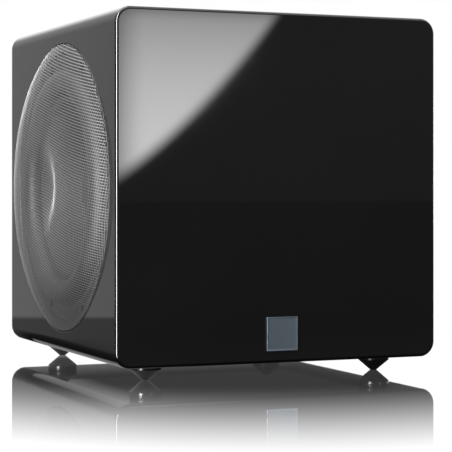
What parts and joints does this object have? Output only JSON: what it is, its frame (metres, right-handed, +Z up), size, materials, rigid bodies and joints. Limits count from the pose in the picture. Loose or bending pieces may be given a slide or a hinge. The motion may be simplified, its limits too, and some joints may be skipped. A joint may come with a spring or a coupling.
{
  "type": "subwoofer",
  "caption": "Compact cube-shaped powered subwoofer with opposed side drivers behind domed mesh grilles, on conical feet, with a rear amplifier panel.",
  "frame": {"origin": "bottom centre of the whole object's box, on the plane of the foot tips", "axes": "+Z up, front face towards -Y, drivers face -X and +X"},
  "size_m": [0.3, 0.272, 0.277],
  "materials": {
    "lacquered_board": "high gloss black lacquer over board",
    "bare_board": "raw fibreboard",
    "badge_metal": "brushed, dark anodised",
    "foot_rubber": "moulded, satin",
    "zinc_steel": "zinc plated",
    "black_steel": "black oxide",
    "cast_basket": "cast, black paint",
    "foam_seal": "closed foam",
    "surround_rubber": "moulded rubber",
    "cone_paper": "coated pulp",
    "coil_wire": "enamelled wire",
    "spider_cloth": "resin treated cloth",
    "motor_steel": "passivated steel",
    "ferrite": "sintered ferrite",
    "grille_mesh": "woven mesh, satin",
    "grille_plastic": "moulded",
    "amp_plate": "fine black powder coat",
    "bare_aluminium": "extruded",
    "board_laminate": "solder mask",
    "component_case": "moulded cases",
    "lead_sleeve": "flexible sleeve",
    "fascia_gloss": "gloss moulding",
    "button_plastic": "satin moulding",
    "light_pipe": "clear blue light pipe",
    "phono_gold": "plated",
    "phono_insert": "moulded",
    "socket_plastic": "moulded, fine texture",
    "rocker_plastic": "satin gloss moulding"
  },
  "bodies": {
    "cabinet": {"top_panel": "lacquered_board", "bottom_panel": "lacquered_board", "left_side_panel": "lacquered_board", "right_side_panel": "lacquered_board", "front_panel": "lacquered_board", "rear_panel": "lacquered_board", "internal_brace": "bare_board", "badge_plate": "badge_metal", "foot_front_left": "foot_rubber", "foot_front_right": "foot_rubber", "foot_rear_left": "foot_rubber", "foot_rear_right": "foot_rubber", "foot_studs": "zinc_steel", "left_basket": "cast_basket", "left_gasket": "foam_seal", "left_surround": "surround_rubber", "left_spider": "spider_cloth", "left_top_plate": "motor_steel", "left_magnet": "ferrite", "left_yoke": "motor_steel", "right_basket": "cast_basket", "right_gasket": "foam_seal", "right_surround": "surround_rubber", "right_spider": "spider_cloth", "right_top_plate": "motor_steel", "right_magnet": "ferrite", "right_yoke": "motor_steel", "driver_screws": "black_steel", "left_grille": "grille_mesh", "left_grille_ring": "grille_plastic", "right_grille": "grille_mesh", "right_grille_ring": "grille_plastic", "amp_panel": "amp_plate", "amp_seal": "foam_seal", "panel_screws": "black_steel", "heat_sink": "bare_aluminium", "circuit_board": "board_laminate", "board_parts": "component_case", "speaker_leads": "lead_sleeve", "control_fascia": "fascia_gloss", "status_lights": "light_pipe", "phono_barrels": "phono_gold", "phono_insulators": "phono_insert", "trigger_socket": "socket_plastic", "mains_inlet": "socket_plastic", "inlet_pins": "zinc_steel", "switch_housing": "socket_plastic"},
    "left_cone_body": {"left_cone": "cone_paper", "left_dust_cap": "cone_paper", "left_voice_coil": "coil_wire"},
    "right_cone_body": {"right_cone": "cone_paper", "right_dust_cap": "cone_paper", "right_voice_coil": "coil_wire"},
    "fuse_tray": {"fuse_drawer": "socket_plastic"},
    "rocker": {"power_rocker": "rocker_plastic"},
    "key_1": {"button_1": "button_plastic"},
    "key_2": {"button_2": "button_plastic"},
    "key_3": {"button_3": "button_plastic"},
    "key_4": {"button_4": "button_plastic"},
    "key_5": {"button_5": "button_plastic"}
  },
  "joints": [
    {"name": "left_cone_travel", "type": "slide", "parent": "cabinet", "child": "left_cone_body", "axis": [-1, 0, 0], "range_m": [-0.011, 0.011], "stiffness_N_per_m": 3000, "deforming": ["left_surround", "left_spider"]},
    {"name": "right_cone_travel", "type": "slide", "parent": "cabinet", "child": "right_cone_body", "axis": [1, 0, 0], "range_m": [-0.011, 0.011], "stiffness_N_per_m": 3000, "deforming": ["right_surround", "right_spider"]},
    {"name": "rocker_tilt", "type": "hinge", "parent": "cabinet", "child": "rocker", "pos_m": [0.016, 0.127, 0.06475], "axis": [1, 0, 0], "range_deg": [-16, 0]},
    {"name": "fuse_drawer_slide", "type": "slide", "parent": "cabinet", "child": "fuse_tray", "axis": [0, 1, 0], "range_m": [0, 0.012]},
    {"name": "button_1_press", "type": "slide", "parent": "cabinet", "child": "key_1", "axis": [0, -1, 0], "range_m": [0, 0.0008], "stiffness_N_per_m": 800},
    {"name": "button_2_press", "type": "slide", "parent": "cabinet", "child": "key_2", "axis": [0, -1, 0], "range_m": [0, 0.0008], "stiffness_N_per_m": 800},
    {"name": "button_3_press", "type": "slide", "parent": "cabinet", "child": "key_3", "axis": [0, -1, 0], "range_m": [0, 0.0008], "stiffness_N_per_m": 800},
    {"name": "button_4_press", "type": "slide", "parent": "cabinet", "child": "key_4", "axis": [0, -1, 0], "range_m": [0, 0.0008], "stiffness_N_per_m": 800},
    {"name": "button_5_press", "type": "slide", "parent": "cabinet", "child": "key_5", "axis": [0, -1, 0], "range_m": [0, 0.0008], "stiffness_N_per_m": 800}
  ],
  "couplings": [
    {"joint": "right_cone_travel", "follows": "left_cone_travel", "ratio": 1}
  ]
}
